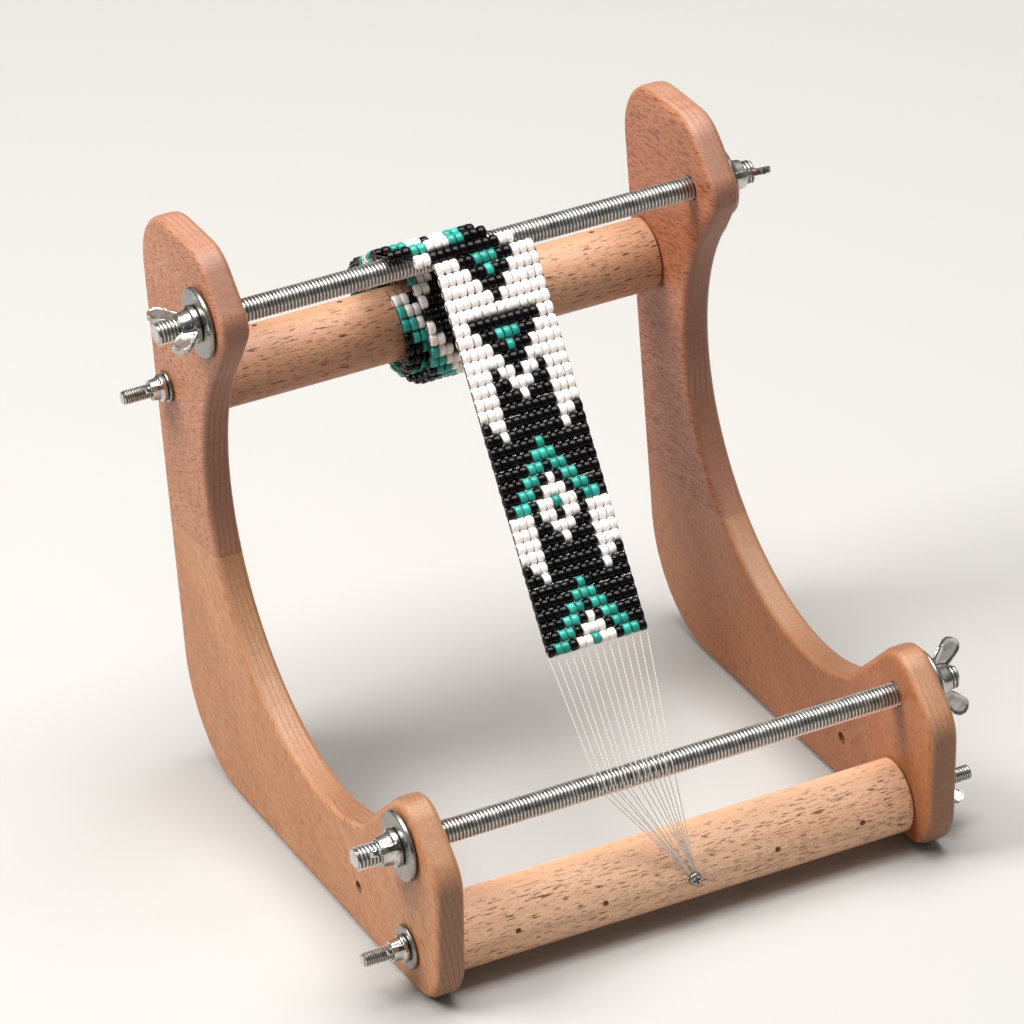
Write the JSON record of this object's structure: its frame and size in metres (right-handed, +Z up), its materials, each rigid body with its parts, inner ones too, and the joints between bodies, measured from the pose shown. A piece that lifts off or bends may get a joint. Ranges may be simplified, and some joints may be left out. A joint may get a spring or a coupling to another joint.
{
  "type": "bead loom",
  "caption": "Table bead loom with beech side panels, threaded rods, turning warp dowels, wing nuts and a strip of beadwork wound on the rear dowel.",
  "frame": {"origin": "under the middle of the whole loom, on the surface it stands on", "axes": "+X along the rods to the right, -Y towards the user, +Z up"},
  "size_m": [0.2195, 0.2165, 0.2085],
  "materials": {
    "panel_wood": "oiled beech boards, sanded",
    "dowel_wood": "pale turned beech dowel",
    "threaded_steel": "zinc plated threaded stock",
    "plated_hardware": "bright zinc plated washers and wing nuts",
    "beads": "opaque glass seed beads in black, white and teal",
    "thread": "twisted nylon warp thread"
  },
  "bodies": {
    "frame": {"left_panel": "panel_wood", "right_panel": "panel_wood", "beadwork_strip": "beads", "warp_threads": "thread"},
    "rear_rod": {"rear_rod": "threaded_steel"},
    "front_rod": {"front_rod": "threaded_steel"},
    "rear_roller": {"rear_dowel": "dowel_wood", "rear_dowel_screw": "threaded_steel", "rear_dowel_bolt_left": "threaded_steel", "rear_dowel_bolt_right": "threaded_steel", "beadwork_roll": "beads"},
    "front_roller": {"front_dowel": "dowel_wood", "front_dowel_screw": "threaded_steel", "front_dowel_bolt_left": "threaded_steel", "front_dowel_bolt_right": "threaded_steel"},
    "rear_rod_washer_left": {"rear_rod_washer_left": "plated_hardware"},
    "rear_rod_wing_nut_left": {"rear_rod_wing_nut_left": "plated_hardware"},
    "rear_rod_washer_right": {"rear_rod_washer_right": "plated_hardware"},
    "rear_rod_wing_nut_right": {"rear_rod_wing_nut_right": "plated_hardware"},
    "front_rod_washer_left": {"front_rod_washer_left": "plated_hardware"},
    "front_rod_wing_nut_left": {"front_rod_wing_nut_left": "plated_hardware"},
    "front_rod_washer_right": {"front_rod_washer_right": "plated_hardware"},
    "front_rod_wing_nut_right": {"front_rod_wing_nut_right": "plated_hardware"},
    "rear_dowel_washer_left": {"rear_dowel_washer_left": "plated_hardware"},
    "rear_dowel_wing_nut_left": {"rear_dowel_wing_nut_left": "plated_hardware"},
    "rear_dowel_washer_right": {"rear_dowel_washer_right": "plated_hardware"},
    "rear_dowel_wing_nut_right": {"rear_dowel_wing_nut_right": "plated_hardware"},
    "front_dowel_washer_left": {"front_dowel_washer_left": "plated_hardware"},
    "front_dowel_wing_nut_left": {"front_dowel_wing_nut_left": "plated_hardware"},
    "front_dowel_washer_right": {"front_dowel_washer_right": "plated_hardware"},
    "front_dowel_wing_nut_right": {"front_dowel_wing_nut_right": "plated_hardware"}
  },
  "joints": [
    {"name": "front_roller_turn", "type": "hinge", "parent": "frame", "child": "front_roller", "pos_m": [0, -0.0818, 0.016], "axis": [-1, 0, 0], "range_deg": [0, 80], "deforming": ["warp_threads"]},
    {"name": "rear_roller_turn", "type": "hinge", "parent": "frame", "child": "rear_roller", "pos_m": [0, 0.0847, 0.144], "axis": [-1, 0, 0], "range_deg": [0, 30], "deforming": ["beadwork_strip"]},
    {"name": "rear_rod_turn", "type": "hinge", "parent": "frame", "child": "rear_rod", "pos_m": [0, 0.0467, 0.184], "axis": [1, 0, 0], "continuous": true},
    {"name": "front_rod_turn", "type": "hinge", "parent": "frame", "child": "front_rod", "pos_m": [0, -0.0843, 0.055], "axis": [1, 0, 0], "continuous": true},
    {"name": "rear_rod_washer_left_slide", "type": "slide", "parent": "rear_rod", "child": "rear_rod_washer_left", "axis": [-1, 0, 0], "range_m": [0, 0.0038]},
    {"name": "rear_rod_wing_nut_left_turn", "type": "hinge", "parent": "rear_rod_washer_left", "child": "rear_rod_wing_nut_left", "pos_m": [0, 0.0467, 0.184], "axis": [-1, 0, 0], "range_deg": [0, 1080]},
    {"name": "rear_rod_washer_right_slide", "type": "slide", "parent": "rear_rod", "child": "rear_rod_washer_right", "axis": [1, 0, 0], "range_m": [0, 0.0038]},
    {"name": "rear_rod_wing_nut_right_turn", "type": "hinge", "parent": "rear_rod_washer_right", "child": "rear_rod_wing_nut_right", "pos_m": [0, 0.0467, 0.184], "axis": [1, 0, 0], "range_deg": [0, 1080]},
    {"name": "front_rod_washer_left_slide", "type": "slide", "parent": "front_rod", "child": "front_rod_washer_left", "axis": [-1, 0, 0], "range_m": [0, 0.0038]},
    {"name": "front_rod_wing_nut_left_turn", "type": "hinge", "parent": "front_rod_washer_left", "child": "front_rod_wing_nut_left", "pos_m": [0, -0.0843, 0.055], "axis": [-1, 0, 0], "range_deg": [0, 1080]},
    {"name": "front_rod_washer_right_slide", "type": "slide", "parent": "front_rod", "child": "front_rod_washer_right", "axis": [1, 0, 0], "range_m": [0, 0.0038]},
    {"name": "front_rod_wing_nut_right_turn", "type": "hinge", "parent": "front_rod_washer_right", "child": "front_rod_wing_nut_right", "pos_m": [0, -0.0843, 0.055], "axis": [1, 0, 0], "range_deg": [0, 1080]},
    {"name": "rear_dowel_washer_left_slide", "type": "slide", "parent": "rear_roller", "child": "rear_dowel_washer_left", "axis": [-1, 0, 0], "range_m": [0, 0.0025]},
    {"name": "rear_dowel_wing_nut_left_turn", "type": "hinge", "parent": "rear_dowel_washer_left", "child": "rear_dowel_wing_nut_left", "pos_m": [0, 0.0847, 0.144], "axis": [-1, 0, 0], "range_deg": [0, 1080]},
    {"name": "rear_dowel_washer_right_slide", "type": "slide", "parent": "rear_roller", "child": "rear_dowel_washer_right", "axis": [1, 0, 0], "range_m": [0, 0.0025]},
    {"name": "rear_dowel_wing_nut_right_turn", "type": "hinge", "parent": "rear_dowel_washer_right", "child": "rear_dowel_wing_nut_right", "pos_m": [0, 0.0847, 0.144], "axis": [1, 0, 0], "range_deg": [0, 1080]},
    {"name": "front_dowel_washer_left_slide", "type": "slide", "parent": "front_roller", "child": "front_dowel_washer_left", "axis": [-1, 0, 0], "range_m": [0, 0.0025]},
    {"name": "front_dowel_wing_nut_left_turn", "type": "hinge", "parent": "front_dowel_washer_left", "child": "front_dowel_wing_nut_left", "pos_m": [0, -0.0818, 0.016], "axis": [-1, 0, 0], "range_deg": [0, 1080]},
    {"name": "front_dowel_washer_right_slide", "type": "slide", "parent": "front_roller", "child": "front_dowel_washer_right", "axis": [1, 0, 0], "range_m": [0, 0.0025]},
    {"name": "front_dowel_wing_nut_right_turn", "type": "hinge", "parent": "front_dowel_washer_right", "child": "front_dowel_wing_nut_right", "pos_m": [0, -0.0818, 0.016], "axis": [1, 0, 0], "range_deg": [0, 1080]}
  ],
  "couplings": [
    {"joint": "rear_roller_turn", "follows": "front_roller_turn", "ratio": 0.37},
    {"joint": "rear_rod_washer_left_slide", "follows": "rear_rod_wing_nut_left_turn", "m_per_rad": 0.00019894},
    {"joint": "rear_rod_washer_right_slide", "follows": "rear_rod_wing_nut_right_turn", "m_per_rad": 0.00019894},
    {"joint": "front_rod_washer_left_slide", "follows": "front_rod_wing_nut_left_turn", "m_per_rad": 0.00019894},
    {"joint": "front_rod_washer_right_slide", "follows": "front_rod_wing_nut_right_turn", "m_per_rad": 0.00019894},
    {"joint": "rear_dowel_washer_left_slide", "follows": "rear_dowel_wing_nut_left_turn", "m_per_rad": 0.00012732},
    {"joint": "rear_dowel_washer_right_slide", "follows": "rear_dowel_wing_nut_right_turn", "m_per_rad": 0.00012732},
    {"joint": "front_dowel_washer_left_slide", "follows": "front_dowel_wing_nut_left_turn", "m_per_rad": 0.00012732},
    {"joint": "front_dowel_washer_right_slide", "follows": "front_dowel_wing_nut_right_turn", "m_per_rad": 0.00012732}
  ]
}
